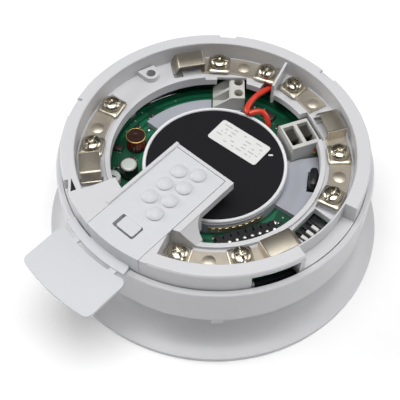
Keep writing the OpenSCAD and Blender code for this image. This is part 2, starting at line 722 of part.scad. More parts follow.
module address_card() color([0.93, 0.93, 0.94]) {
    difference() {
        union() {
            // plate with its front wall, which closes the doorway in the ring
            box([card_x - card_w / 2, -46, total_h - card_t],
                [card_x + card_w / 2, carrier_y - 1.4, total_h]);
            intersection() {
                box([card_x - card_w / 2, -60, strip_z0], [card_x + card_w / 2, -40, total_h]);
                difference() {
                    cylinder(r = ring_r, h = 60, $fn = 96);
                    translate([0, 0, -1])
                        cylinder(r = ring_r - 1.9, h = total_h - card_t + 1, $fn = 96);
                }
            }
            // strip that lies on the ledge
            intersection() {
                sector(strip_r0, strip_r1, 251.6, 280.6, strip_z0, ledge_z + 1.5);
                box([-30, -60, 0], [card_x + card_w / 2, 0, 60]);
            }
            // neck between the front wall and the strip
            intersection() {
                sector(ring_r - 0.8, strip_r0 + 0.6, 262, 280.2, strip_z0 + 0.15, ledge_z + 1.35);
                box([card_x - card_w / 2 + 0.4, -60, 0], [card_x + card_w / 2 - 0.4, 0, 60]);
            }
            label_tab();
        }
        translate([(latch_x0 + latch_x1) / 2 - 0.3, (latch_y0 + latch_y1) / 2 - 0.275, 36])
            linear_extrude(height = 10)
                rounded(latch_x1 - latch_x0 + 1.8, latch_y1 - latch_y0 + 0.65, 0.7);
    }
    // seven pips that are broken off to set the address
    for (p = concat(left_pips, right_pips)) translate([p[0], p[1], total_h - 0.3]) intersection() {
        cylinder(d = pip_d, h = 3);
        translate([0, 0, -2.4]) sphere(4.1, $fn = 48);
    }
}

// sprung tongue in the card; its free end points along -Y
module card_latch() color([0.93, 0.93, 0.94])
    translate([(latch_x0 + latch_x1) / 2, (latch_y0 + latch_y1) / 2, total_h - card_t])
        linear_extrude(height = card_t + 0.1) rounded(latch_x1 - latch_x0, latch_y1 - latch_y0, 0.6);

// ---------- drawing ----------

back_shell();
sounder_housing();
mounting_ring();
circuit_board();
sound_chamber();
chamber_gasket();
sounder_cap();
piezo_disc();
rating_label();
for (i = [0:4]) terminal_plate(i);
for (i = [0:3]) contact_spring(i);
for (i = [0:8]) clamp_washer(i);
for (i = [0:8]) terminal_screw(i);
block_a_body();
block_a_cages();
block_b_body();
block_b_cages();
for (j = [0:1]) block_a_screw(j);
for (j = [0:1]) block_b_screw(j);
inductor_core();
inductor_winding();
smoothing_capacitor();
driver_transistor();
link_header();
header_pins();
small_components();
tone_switch_body();
for (j = [0:2]) tone_slider(j);
red_link_wire();
assembly_screws();
address_card();
card_latch();
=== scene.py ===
"""Looks of the detector base: fine pieces, materials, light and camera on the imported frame."""

import json
import math

import bmesh
import bpy
from mathutils import Matrix, Vector


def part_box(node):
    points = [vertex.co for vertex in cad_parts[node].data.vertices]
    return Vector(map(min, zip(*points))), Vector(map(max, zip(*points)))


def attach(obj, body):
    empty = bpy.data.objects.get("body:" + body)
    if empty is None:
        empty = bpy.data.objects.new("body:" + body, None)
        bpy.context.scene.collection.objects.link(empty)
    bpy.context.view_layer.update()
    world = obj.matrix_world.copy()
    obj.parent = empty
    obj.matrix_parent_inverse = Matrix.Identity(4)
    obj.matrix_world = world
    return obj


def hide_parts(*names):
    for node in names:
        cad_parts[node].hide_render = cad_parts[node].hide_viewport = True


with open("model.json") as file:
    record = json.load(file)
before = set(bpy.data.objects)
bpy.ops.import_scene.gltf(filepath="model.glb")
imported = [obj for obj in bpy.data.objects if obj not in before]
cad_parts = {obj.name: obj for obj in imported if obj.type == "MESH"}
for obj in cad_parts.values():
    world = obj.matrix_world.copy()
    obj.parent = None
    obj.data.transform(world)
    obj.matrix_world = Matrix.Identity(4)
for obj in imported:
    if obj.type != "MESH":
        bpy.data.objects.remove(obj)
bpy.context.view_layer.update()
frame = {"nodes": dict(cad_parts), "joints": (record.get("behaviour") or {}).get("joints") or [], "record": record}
nodes = frame["nodes"]
joints = {joint["name"]: joint for joint in frame["joints"]}
MM = 0.001
UP = Vector((0, 0, 1))


# ---------- camera, light and floor ----------

CAMERA_AZIMUTH = math.radians(41)
CAMERA_ELEVATION = math.radians(54.5)
CAMERA_ROLL = math.radians(1.08)
CAMERA_DISTANCE = 310.7 * MM
CAMERA_TARGET = Vector((-7.45, 1.37, 0)) * MM
CAMERA_LENS = 77


def direction(azimuth, elevation):
    """Unit vector towards a viewer at that azimuth (0 looks along +Y) and elevation."""
    return Vector((
        math.sin(azimuth) * math.cos(elevation),
        -math.cos(azimuth) * math.cos(elevation),
        math.sin(elevation),
    ))


def make_camera():
    """Long lens at the photograph's viewing angle."""
    data = bpy.data.cameras.new("camera")
    data.lens = CAMERA_LENS
    data.sensor_width = 36
    data.clip_start, data.clip_end = 0.01, 10
    camera = bpy.data.objects.new("camera", data)
    bpy.context.scene.collection.objects.link(camera)
    back = direction(CAMERA_AZIMUTH, CAMERA_ELEVATION)
    camera.location = CAMERA_TARGET + back * CAMERA_DISTANCE
    turn = (-back).to_track_quat("-Z", "Y").to_matrix().to_4x4()
    roll = Matrix.Rotation(CAMERA_ROLL, 4, "Z")
    camera.rotation_euler = (turn @ roll).to_euler()
    bpy.context.scene.camera = camera


def area_light(name, azimuth, elevation, distance, size, power):
    """Square soft box that looks at the object from that side."""
    data = bpy.data.lights.new(name, "AREA")
    data.size = size
    data.energy = power
    light = bpy.data.objects.new(name, data)
    bpy.context.scene.collection.objects.link(light)
    away = direction(math.radians(azimuth), math.radians(elevation))
    light.location = away * distance
    light.rotation_euler = (-away).to_track_quat("-Z", "Y").to_euler()


def make_world(bright, dim):
    """White tent that is open, and so darker, on the photographer's side."""
    world = bpy.data.worlds.new("studio")
    world.use_nodes = True
    tree = world.node_tree
    background = tree.nodes["Background"]
    place = tree.nodes.new("ShaderNodeTexCoord")
    facing = tree.nodes.new("ShaderNodeVectorMath")
    facing.operation = "DOT_PRODUCT"
    facing.inputs[1].default_value = direction(CAMERA_AZIMUTH, math.radians(12))
    strength = tree.nodes.new("ShaderNodeMapRange")
    strength.interpolation_type = "SMOOTHSTEP"
    strength.inputs["From Min"].default_value = -0.25
    strength.inputs["From Max"].default_value = 0.75
    strength.inputs["To Min"].default_value = bright
    strength.inputs["To Max"].default_value = dim
    tree.links.new(place.outputs["Generated"], facing.inputs[0])
    tree.links.new(facing.outputs["Value"], strength.inputs["Value"])
    tree.links.new(strength.outputs["Result"], background.inputs["Strength"])
    bpy.context.scene.world = world


def make_floor():
    """Plain white paper, just under the object."""
    mesh = bpy.data.meshes.new("floor")
    reach = 3
    mesh.from_pydata(
        [(-reach, -reach, 0), (reach, -reach, 0), (reach, reach, 0), (-reach, reach, 0)],
        [], [(0, 1, 2, 3)],
    )
    floor = bpy.data.objects.new("floor", mesh)
    floor.location.z = -0.05 * MM
    bpy.context.scene.collection.objects.link(floor)
    material = bpy.data.materials.new("floor_paper")
    material.use_nodes = True
    shader = material.node_tree.nodes["Principled BSDF"]
    shader.inputs["Base Color"].default_value = (0.95, 0.95, 0.95, 1)
    shader.inputs["Roughness"].default_value = 0.9
    mesh.materials.append(material)


# name, azimuth and elevation in degrees, distance and size in metres, power in watts
LIGHTS = (
    ("overhead", 41, 84, 0.9, 0.7, 7.6),
    ("left_box", -65, 26, 1.1, 0.7, 6.4),
    ("right_box", 140, 30, 1.1, 0.7, 4.2),
)

make_camera()
make_world(bright=0.55, dim=0.04)
for light_row in LIGHTS:
    area_light(*light_row)
make_floor()
bpy.context.scene.view_settings.view_transform = "Standard"


# ---------- materials ----------

# places of the colour sockets on a Mix node
MIX_LOW, MIX_HIGH, MIX_RESULT = 6, 7, 2


class Nodes:
    """Short way to build a node material around its Principled shader."""

    def __init__(self, name):
        self.material = bpy.data.materials.new(name)
        self.material.use_nodes = True
        self.tree = self.material.node_tree
        self.shader = self.tree.nodes["Principled BSDF"]
        self.place = self.add("ShaderNodeTexCoord").outputs["Object"]

    def add(self, kind, **values):
        """New node; each value goes to the socket of that name, or else to the property."""
        node = self.tree.nodes.new(kind)
        for key, value in values.items():
            if key in node.inputs:
                node.inputs[key].default_value = value
            else:
                setattr(node, key, value)
        return node

    def link(self, source, target):
        self.tree.links.new(source, target)

    def noise(self, per_metre, detail=3.0, roughness=0.5):
        """Noise of that many cells in a metre, in object space."""
        node = self.add("ShaderNodeTexNoise")
        node.inputs["Scale"].default_value = per_metre
        node.inputs["Detail"].default_value = detail
        node.inputs["Roughness"].default_value = roughness
        self.link(self.place, node.inputs["Vector"])
        return node.outputs["Fac"]

    def mix(self, factor, low, high):
        """Colour between low and high by factor; each is a colour or an output."""
        node = self.add("ShaderNodeMix", data_type="RGBA")
        self.link(factor, node.inputs["Factor"])
        for socket, value in ((node.inputs[MIX_LOW], low), (node.inputs[MIX_HIGH], high)):
            if isinstance(value, tuple):
                socket.default_value = (*value, 1)
            else:
                self.link(value, socket)
        return node.outputs[MIX_RESULT]

    def span(self, source, low, high, start=0.0, end=1.0):
        """Source from start..end mapped to low..high."""
        node = self.add("ShaderNodeMapRange")
        node.inputs["From Min"].default_value = start
        node.inputs["From Max"].default_value = end
        node.inputs["To Min"].default_value = low
        node.inputs["To Max"].default_value = high
        self.link(source, node.inputs["Value"])
        return node.outputs["Result"]

    def step(self, source, low, high):
        """0 below low, 1 above high, smooth between."""
        return self.span(source, 0, 1, low, high)

    def math(self, operation, a, b=0.0):
        """Arithmetic on two numbers or outputs."""
        node = self.add("ShaderNodeMath", operation=operation)
        for socket, value in zip(node.inputs, (a, b)):
            if isinstance(value, (int, float)):
                socket.default_value = value
            else:
                self.link(value, socket)
        return node.outputs["Value"]

    def bump(self, height, depth_mm):
        """Relief of that depth on the surface."""
        node = self.add("ShaderNodeBump")
        node.inputs["Strength"].default_value = 1.0
        node.inputs["Distance"].default_value = depth_mm * MM
        self.link(height, node.inputs["Height"])
        self.link(node.outputs["Normal"], self.shader.inputs["Normal"])

    def colour(self, value):
        """Base colour, given as a colour or as an output."""
        if isinstance(value, tuple):
            self.shader.inputs["Base Color"].default_value = (*value, 1)
        else:
            self.link(value, self.shader.inputs["Base Color"])

    def roughness(self, value):
        """Roughness, given as a number or as an output."""
        if isinstance(value, float):
            self.shader.inputs["Roughness"].default_value = value
        else:
            self.link(value, self.shader.inputs["Roughness"])

    def set(self, key, value):
        """Plain value on one of the shader's own sockets."""
        self.shader.inputs[key].default_value = value


def shade(colour, factor):
    """The colour made lighter or darker by a factor."""
    return tuple(channel * factor for channel in colour)


def plastic(name, colour, rough, grain_mm=0.35, grain_depth=0.006, mottle=0.04, coat=0.0,
            specular=0.5, metallic=0.0):
    """Moulded plastic: fine spark-eroded grain, faint flow mottling and uneven gloss."""
    m = Nodes(name)
    flow = m.noise(60, 4, 0.6)
    m.colour(m.mix(flow, shade(colour, 1 - mottle), colour))
    m.roughness(m.span(m.noise(220, 3), rough - 0.05, rough + 0.08))
    m.bump(m.noise(1 / (grain_mm * MM), 2), grain_depth)
    m.set("IOR", 1.47)
    m.set("Specular IOR Level", specular)
    m.set("Metallic", metallic)
    m.set("Coat Weight", coat)
    m.set("Coat Roughness", 0.12)
    return m.material


def nickel(name, colour, rough, brushed=1.0):
    """Nickel-plated steel: tarnish patches, rolled streaks and pressed unevenness."""
    m = Nodes(name)
    tarnish = m.step(m.noise(420, 4, 0.65), 0.35, 0.75)
    streaks = m.noise(2600, 3, 0.6)
    tone = m.mix(tarnish, colour, shade(colour, 0.72))
    m.colour(m.mix(m.step(streaks, 0.3, 0.8), tone_low(colour), tone))
    m.roughness(m.span(streaks, rough - 0.08, rough + 0.14 * brushed))
    m.bump(streaks, 0.008 * brushed)
    m.set("Metallic", 1.0)
    return m.material


def tone_low(colour):
    """The same metal where it lies a little darker and warmer."""
    return (colour[0] * 0.86, colour[1] * 0.83, colour[2] * 0.78)


TRACK_PITCH = 1.9 * MM


def board_material():
    """Green solder resist over copper tracks that run round the board, with vias."""
    m = Nodes("board_green")
    distance = m.add("ShaderNodeVectorMath", operation="LENGTH")
    m.link(m.place, distance.inputs[0])
    lane = m.math("FRACT", m.math("DIVIDE", distance.outputs["Value"], TRACK_PITCH))
    ridge = m.math("PINGPONG", lane, 0.5)
    track = m.math("MULTIPLY", m.step(ridge, 0.16, 0.22), m.step(m.noise(95, 0), 0.46, 0.48))
    vias = m.add("ShaderNodeTexVoronoi", feature="F1")
    vias.inputs["Scale"].default_value = 300
    m.link(m.place, vias.inputs["Vector"])
    via = m.step(vias.outputs["Distance"], 0.12, 0.09)
    resist = m.mix(m.noise(180, 3), (0.002, 0.05, 0.022), (0.004, 0.085, 0.04))
    covered = m.mix(track, resist, (0.008, 0.15, 0.07))
    m.colour(m.mix(via, covered, (0.4, 0.45, 0.32)))
    m.roughness(m.span(m.noise(500, 2), 0.3, 0.45))
    m.bump(track, 0.03)
    m.set("Coat Weight", 0.2)
    m.set("Coat Roughness", 0.2)
    return m.material


def winding_material():
    """Enamelled copper wire, wound in fine turns about Z."""
    m = Nodes("winding_red")
    wave = m.add("ShaderNodeTexWave", bands_direction="Z")
    wave.inputs["Scale"].default_value = 900
    m.link(m.place, wave.inputs["Vector"])
    m.colour(m.mix(wave.outputs["Fac"], (0.12, 0.012, 0.006), (0.5, 0.07, 0.02)))
    m.roughness(0.25)
    m.bump(wave.outputs["Fac"], 0.08)
    m.set("Coat Weight", 0.6)
    return m.material


# turn of the label about Z, and the half size of its printed field
LABEL_TURN = math.radians(2.9)
PRINT_HALF_X, PRINT_HALF_Y = 8.6 * MM, 3.7 * MM
# pitch of the printed rows, and the share of it that a bar fills
ROW_PITCH = 1.5 * MM
BAR_SHARE = 0.3


def label_material():
    """White label with rows of plain printed bars."""
    m = Nodes("label_white")
    low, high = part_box("rating_label")
    local = m.add("ShaderNodeMapping", vector_type="TEXTURE")
    local.inputs["Location"].default_value = ((low[0] + high[0]) / 2, (low[1] + high[1]) / 2, 0)
    local.inputs["Rotation"].default_value = (0, 0, LABEL_TURN)
    m.link(m.place, local.inputs["Vector"])
    parts = m.add("ShaderNodeSeparateXYZ")
    m.link(local.outputs["Vector"], parts.inputs["Vector"])
    x, y = parts.outputs["X"], parts.outputs["Y"]
    row = m.math("DIVIDE", y, ROW_PITCH)
    in_row = m.math("LESS_THAN", m.math("FRACT", m.math("ADD", row, 20)), BAR_SHARE)
    cell = m.add("ShaderNodeCombineXYZ")
    m.link(x, cell.inputs["X"])
    m.link(m.math("MULTIPLY", m.math("FLOOR", row), 0.0137), cell.inputs["Y"])
    words = m.add("ShaderNodeTexNoise")
    words.inputs["Scale"].default_value = 640
    words.inputs["Detail"].default_value = 0
    m.link(cell.outputs["Vector"], words.inputs["Vector"])
    in_word = m.math("GREATER_THAN", words.outputs["Fac"], 0.53)
    inside = m.math("MULTIPLY", m.math("LESS_THAN", m.math("ABSOLUTE", x), PRINT_HALF_X),
                    m.math("LESS_THAN", m.math("ABSOLUTE", y), PRINT_HALF_Y))
    ink = m.math("MULTIPLY", m.math("MULTIPLY", in_row, in_word), inside)
    paper = m.mix(m.noise(300, 3), (0.66, 0.66, 0.65), (0.71, 0.71, 0.70))
    m.colour(m.mix(ink, paper, (0.42, 0.42, 0.43)))
    m.roughness(m.span(m.noise(900, 2), 0.38, 0.5))
    m.bump(m.noise(1600, 2), 0.004)
    return m.material


MATERIALS = {
    "moulding_white": plastic("moulding_white", (0.60, 0.60, 0.615), 0.36),
    "card_white": plastic("card_white", (0.60, 0.605, 0.63), 0.42, 0.25, 0.01),
    "board_green": board_material(),
    "chamber_grey": plastic("chamber_grey", (0.42, 0.43, 0.48), 0.32, 0.6, 0.01, 0.1),
    "gasket_white": plastic("gasket_white", (0.76, 0.76, 0.77), 0.5, 0.5, 0.01),
    "cap_black": plastic("cap_black", (0.009, 0.009, 0.012), 0.6, 0.3, 0.02, 0.2, 0.0, 0.2),
    "disc_brass": nickel("disc_brass", (0.72, 0.52, 0.2), 0.3),
    "label_white": label_material(),
    "terminal_nickel": nickel("terminal_nickel", (0.66, 0.61, 0.53), 0.42),
    "spring_nickel": nickel("spring_nickel", (0.54, 0.50, 0.43), 0.38),
    "washer_nickel": nickel("washer_nickel", (0.66, 0.62, 0.53), 0.33),
    "screw_nickel": nickel("screw_nickel", (0.62, 0.58, 0.49), 0.27, 0.6),
    "block_grey": plastic("block_grey", (0.57, 0.57, 0.54), 0.4, 0.3, 0.008),
    # painted shade: the cage steel is darkened far below bare steel so the cages look as dark as the shaded gaps
    # of the blocks
    "cage_steel": nickel("cage_steel", (0.17, 0.165, 0.155), 0.34),
    "core_brown": plastic("core_brown", (0.032, 0.012, 0.008), 0.42, 0.35, 0.006, 0.1, 0.0, 0.25),
    "winding_red": winding_material(),
    "can_aluminium": plastic("can_aluminium", (0.70, 0.75, 0.70), 0.3, 0.2, 0.003, 0.06,
                             metallic=0.3),
    "component_black": plastic("component_black", (0.012, 0.012, 0.014), 0.38, 0.25, 0.01, 0.3),
    "pin_tin": nickel("pin_tin", (0.82, 0.82, 0.8), 0.2, 0.3),
    "chip_dark": plastic("chip_dark", (0.03, 0.028, 0.025), 0.45, 0.2, 0.01, 0.3),
    "slider_white": plastic("slider_white", (0.66, 0.66, 0.63), 0.4),
    "wire_red": plastic("wire_red", (0.72, 0.045, 0.02), 0.34, 0.5, 0.004, 0.15, 0.3),
    "fixing_steel": nickel("fixing_steel", (0.5, 0.5, 0.5), 0.35),
    "pin_bright": nickel("pin_bright", (0.95, 0.95, 0.94), 0.35, 0.3),
    "solder": nickel("solder", (0.7, 0.72, 0.72), 0.3, 0.4),
    "pad_gold": nickel("pad_gold", (0.62, 0.50, 0.36), 0.42, 0.4),
    "sleeve_dark": plastic("sleeve_dark", (0.006, 0.014, 0.01), 0.3, 0.3, 0.004, 0.2),
    "ring_pink": plastic("ring_pink", (0.40, 0.32, 0.31), 0.4),
    "band_khaki": plastic("band_khaki", (0.27, 0.24, 0.15), 0.42, 0.4, 0.02, 0.2),
    "trimmer_white": plastic("trimmer_white", (0.55, 0.58, 0.54), 0.4),
    "bead_red": plastic("bead_red", (0.45, 0.03, 0.01), 0.25, 0.4, 0.003, 0.1, 0.4),
    "bead_yellow": plastic("bead_yellow", (0.55, 0.42, 0.04), 0.3, 0.4, 0.003, 0.1, 0.3),
}


def dress_cad_nodes():
    """Gives each CAD node the material of its slot."""
    for part in frame["record"]["subparts"]:
        obj = nodes[part["node"]]
        obj.data.materials.clear()
        obj.data.materials.append(MATERIALS[part["material_slot"]])


# chamfer of the sharp edges of CAD nodes, in millimetres; 0 leaves the edges alone
EDGE_WIDTHS = {
    "back_shell": 0.1, "sounder_housing": 0.12, "circuit_board": 0.1,
    "address_card": 0.045, "card_latch": 0.05, "rating_label": 0.03,
    "sounder_cap": 0.12, "sound_chamber": 0.05, "chamber_gasket": 0, "piezo_disc": 0,
    "block_a_body": 0.03, "block_a_cages": 0.05, "block_a_screw_1": 0, "block_a_screw_2": 0,
    "block_b_body": 0.1, "block_b_cages": 0.05, "block_b_screw_1": 0, "block_b_screw_2": 0,
    "tone_switch_body": 0.1, "tone_slider_1": 0.05, "tone_slider_2": 0.05, "tone_slider_3": 0.05,
    "line_in_plate": 0.08, "line_out_plate": 0.08, "common_plate": 0.08, "remote_plate": 0.08,
    "earth_plate": 0.04, "link_header": 0.04, "assembly_screws": 0.08,
}


# edges of CAD nodes that are sharper than this are chamfered
CHAMFER_ANGLE = math.radians(40)
# the ring has gentle slopes beside flat faces, which a wider split would blend
RING_EDGE_WIDTH, RING_SPLIT = 0.07, 8


def soften(node, width_mm, split=15):
    """Takes the sharp edges off a CAD node with modifiers, which leave its mesh alone.

    Edges steeper than split degrees stay crisp, so that flat faces are shaded flat.
    """
    obj = nodes[node]
    for polygon in obj.data.polygons:
        polygon.use_smooth = True
    weld = obj.modifiers.new("weld", "WELD")
    weld.merge_threshold = 0.002 * MM
    if width_mm > 0:
        bevel = obj.modifiers.new("bevel", "BEVEL")
        bevel.limit_method = "ANGLE"
        bevel.angle_limit = CHAMFER_ANGLE
        bevel.width = width_mm * MM
        bevel.segments = 1
        bevel.use_clamp_overlap = False
    edges = obj.modifiers.new("edges", "EDGE_SPLIT")
    edges.split_angle = math.radians(split)


# ---------- mesh helpers, in millimetres ----------

# faces of the detailed pieces that meet at less than this are shaded as one surface
SMOOTH_ANGLE = math.radians(38)


def skin(bm, rings, closed=False):
    """Skin over rings of points; a ring of one point closes an end, and open ends are capped."""
    made = [[bm.verts.new(point) for point in ring] for ring in rings]
    pairs = list(zip(made, made[1:])) + ([(made[-1], made[0])] if closed else [])
    for low, high in pairs:
        count = max(len(low), len(high))
        for k in range(count):
            after = (k + 1) % count
            corners = (low[k % len(low)], low[after % len(low)],
                       high[after % len(high)], high[k % len(high)])
            bm.faces.new(dict.fromkeys(corners))
    if not closed:
        for ring in (made[0], made[-1]):
            if len(ring) > 2:
                bm.faces.new(ring)


def circle(radius, height, steps=48, centre=(0, 0)):
    """Ring of points about a vertical axis, or one point when the radius is 0."""
    if radius == 0:
        return [(centre[0], centre[1], height)]
    turns = [math.tau * k / steps for k in range(steps)]
    return [(centre[0] + radius * math.cos(t), centre[1] + radius * math.sin(t), height)
            for t in turns]


def revolve(bm, profile, steps=48, centre=(0, 0), closed=False):
    """Surface of revolution about Z; profile lists (radius, height)."""
    skin(bm, [circle(radius, height, steps, centre) for radius, height in profile], closed)


def squircle(half_x, half_y, height, power=8, steps=64):
    """Rectangle with round corners; a higher power gives tighter corners."""
    ring = []
    for k in range(steps):
        c, s = math.cos(math.tau * k / steps), math.sin(math.tau * k / steps)
        reach = (abs(c) ** power + abs(s) ** power) ** (-1 / power)
        ring.append((half_x * reach * c, half_y * reach * s, height))
    return ring


def block(bm, low, high, radius, place=Matrix.Identity(4), segments=2):
    """Box between two corners with rounded edges."""
    low, high = Vector(low), Vector(high)
    size = high - low
    matrix = place @ Matrix.Translation((low + high) / 2) @ Matrix.Diagonal((*size, 1))
    made = bmesh.ops.create_cube(bm, size=1, matrix=matrix)
    edges = list(dict.fromkeys(edge for vert in made["verts"] for edge in vert.link_edges))
    bmesh.ops.bevel(bm, geom=edges, offset=radius, segments=segments, profile=0.5, affect="EDGES")


def spline(points, steps):
    """Points along a Catmull-Rom curve through the given points."""
    route = [Vector(point) for point in points]
    last = len(route) - 1
    curve = []
    for k in range(last):
        a, b = route[max(k - 1, 0)], route[k]
        c, d = route[k + 1], route[min(k + 2, last)]
        for s in range(steps):
            t = s / steps
            curve.append(0.5 * (2 * b + (c - a) * t + (2 * a - 5 * b + 4 * c - d) * t * t
                                + (3 * b - a - 3 * c + d) * t ** 3))
    return curve + [route[-1]]


def tube(bm, points, radius, sides=12):
    """Round rod along a list of points."""
    last = len(points) - 1
    across = Vector((1, 0.35, 0.1))
    rings = []
    for k, point in enumerate(points):
        along = (points[min(k + 1, last)] - points[max(k - 1, 0)]).normalized()
        u = along.cross(across).normalized()
        v = along.cross(u)
        turns = [math.tau * j / sides for j in range(sides)]
        rings.append([point + radius * (math.cos(t) * u + math.sin(t) * v) for t in turns])
    skin(bm, rings)


def mesh_from(name, bm, place):
    """Finished mesh in metres, smooth except where its faces meet at a real edge."""
    bmesh.ops.recalc_face_normals(bm, faces=bm.faces)
    bm.transform(Matrix.Scale(MM, 4) @ place)
    mesh = bpy.data.meshes.new(name)
    bm.to_mesh(mesh)
    bm.free()
    mesh.polygons.foreach_set("use_smooth", [True] * len(mesh.polygons))
    mesh.set_sharp_from_angle(angle=SMOOTH_ANGLE)
    return mesh


def piece(name, bm, slot, body="base", stands_for=None, place=Matrix.Identity(4)):
    """Builds an object that rides on a body, wears a slot's material and may stand for a CAD node."""
    mesh = mesh_from(name, bm, place)
    mesh.materials.append(MATERIALS[slot])
    obj = bpy.data.objects.new(name, mesh)
    bpy.context.scene.collection.objects.link(obj)
    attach(obj, body)
    if stands_for:
        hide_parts(stands_for)


def box_mm(node):
    """Corners of a CAD node's box, in millimetres."""
    low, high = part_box(node)
    return Vector(low) / MM, Vector(high) / MM


def on_spot(x, y, z=0.0, turn=0.0):
    """Place at a point, turned about the vertical by that many degrees."""
    return Matrix.Translation((x, y, z)) @ Matrix.Rotation(math.radians(turn), 4, "Z")


def hinge_spot(joint):
    """Axis position of a joint, in millimetres."""
    return Vector(joints[joint]["pos_m"]) / MM


def edge_rank(edge):
    """Ranks edges by length, and equal ones by direction and place, so that every run agrees."""
    a, b = (vert.co for vert in edge.verts)
    turn = math.atan2(b.y - a.y, b.x - a.x) % math.pi
    return round((b - a).length, 3), round(turn, 3), tuple(round(v, 3) for v in a + b)


def solids_of(node):
    """Separate solids of a CAD node: for each its low centre, its size and its turn in degrees."""
    bm = bmesh.new()
    bm.from_mesh(nodes[node].data)
    bm.transform(Matrix.Scale(1 / MM, 4) @ nodes[node].matrix_world)
    bmesh.ops.remove_doubles(bm, verts=bm.verts, dist=0.001)
    left = set(bm.verts)
    found = []
    while left:
        group, front = set(), [left.pop()]
        while front:
            vert = front.pop()
            group.add(vert)
            for edge in vert.link_edges:
                other = edge.other_vert(vert)
                if other in left:
                    left.remove(other)
                    front.append(other)
        edges = {edge for vert in group for edge in vert.link_edges}
        flat = [e for e in edges if abs(e.verts[0].co.z - e.verts[1].co.z) < 0.001
                and len(e.link_faces) == 2 and e.calc_face_angle(0) > 0.5]
        longest = max(flat, key=edge_rank)
        along = longest.verts[1].co - longest.verts[0].co
        turn = math.atan2(along.y, along.x)
        back = Matrix.Rotation(-turn, 3, "Z")
        points = [back @ vert.co for vert in group]
        low = Vector([min(p[k] for p in points) for k in range(3)])
        high = Vector([max(p[k] for p in points) for k in range(3)])
        middle = back.inverted() @ Vector(((low.x + high.x) / 2, (low.y + high.y) / 2, low.z))
        found.append((middle, high - low, math.degrees(turn), len(group)))
    bm.free()
    return sorted(found, key=lambda entry: tuple(entry[0]))


# ---------- terminals ----------

# turn of each screw's recess and of each washer, in degrees
SLOT_TURNS = (20, 65, 40, 10, 75, 30, 5, 85, 50)
WASHER_TURNS = (4, -3, 0, 3, -4, 2, 5, -2, -4)
THREAD_PITCH = 0.6
THREAD_DEPTH = 0.34
# radius of a screw's thread, as a share of its head's radius
SHANK_SHARE = 0.53
# half the width of the slot and of the cross bar in a screw's head
RECESS_HALF = 0.42


def screw_mesh(radius, head_radius, head_z, tip_z, top_z, turn):
    """Pan head screw about the origin's axis: rolled thread, round head, slot and cross recess."""
    bm = bmesh.new()
    steps, per_turn = 24, 8
    count = round((head_z - tip_z) / THREAD_PITCH * per_turn)
    rings = [[(0, 0, tip_z)]]
    for k in range(count + 1):
        z = tip_z + (head_z - tip_z) * k / count
        point = min(1, 0.72 + (z - tip_z) / 3)
        ring = []
        for j in range(steps):
            phase = (z / THREAD_PITCH - j / steps) % 1
            r = point * (radius - THREAD_DEPTH * abs(2 * phase - 1))
            t = math.tau * j / steps
            ring.append((r * math.cos(t), r * math.sin(t), z))
        rings.append(ring)
    height = top_z - head_z
    profile = [(head_radius - 0.18, 0), (head_radius, 0.18), (head_radius, 0.34 * height)]
    profile += [
        (head_radius * math.cos(math.radians(a)) ** 0.62,
         height * (0.34 + 0.66 * math.sin(math.radians(a))))
        for a in range(10, 90, 8)
    ]
    rings += [circle(r, head_z + z, steps) for r, z in profile]
    rings.append([(0, 0, top_z)])
    skin(bm, rings)
    head = mesh_from("screw_head", bm, Matrix.Identity(4))
    cutters = bmesh.new()
    recesses = ((head_radius * 2, RECESS_HALF, 0.95), (RECESS_HALF, 1.75, 1.25))
    for half_x, half_y, depth in recesses:
        block(cutters, (-half_x, -half_y, top_z - depth), (half_x, half_y, top_z + 1), 0.08,
              on_spot(0, 0, 0, turn))
    return cut(head, mesh_from("recess", cutters, Matrix.Identity(4)))


def cut(mesh, cutter_mesh):
    """The mesh with the cutter taken out of it, and its new edges rounded."""
    target = bpy.data.objects.new("target", mesh)
    cutter = bpy.data.objects.new("cutter", cutter_mesh)
    for obj in (target, cutter):
        bpy.context.scene.collection.objects.link(obj)
    boolean = target.modifiers.new("cut", "BOOLEAN")
    boolean.operation = "DIFFERENCE"
    boolean.solver = "EXACT"
    boolean.use_self = True
    boolean.object = cutter
    bevel = target.modifiers.new("edge", "BEVEL")
    bevel.limit_method = "ANGLE"
    bevel.angle_limit = math.radians(50)
    bevel.width = 0.05 * MM
    bevel.segments = 2
    graph = bpy.context.evaluated_depsgraph_get()
    result = bpy.data.meshes.new_from_object(target.evaluated_get(graph))
    for obj in (target, cutter):
        bpy.data.objects.remove(obj)
    result.polygons.foreach_set("use_smooth", [True] * len(result.polygons))
    result.set_sharp_from_angle(angle=SMOOTH_ANGLE)
    return result


def make_terminal_screws():
    """Nine pan head screws, each with its recess at its own turn."""
    for i, turn in enumerate(SLOT_TURNS, 1):
        node = f"terminal_screw_{i}"
        spot = hinge_spot(f"screw_{i}_turn")
        low, high = box_mm(node)
        head_radius = (high.x - low.x) / 2
        washer_top = box_mm(f"clamp_washer_{i}")[1].z
        mesh = screw_mesh(head_radius * SHANK_SHARE, head_radius, washer_top + 0.05, low.z, high.z,
                          turn + math.degrees(math.atan2(spot.y, spot.x)))
        mesh.transform(Matrix.Translation((spot.x * MM, spot.y * MM, 0)))
        mesh.materials.clear()
        mesh.materials.append(MATERIALS["screw_nickel"])
        screw = bpy.data.objects.new(f"screw_{i}", mesh)
        bpy.context.scene.collection.objects.link(screw)
        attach(screw, f"screw_{i}")
        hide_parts(node)


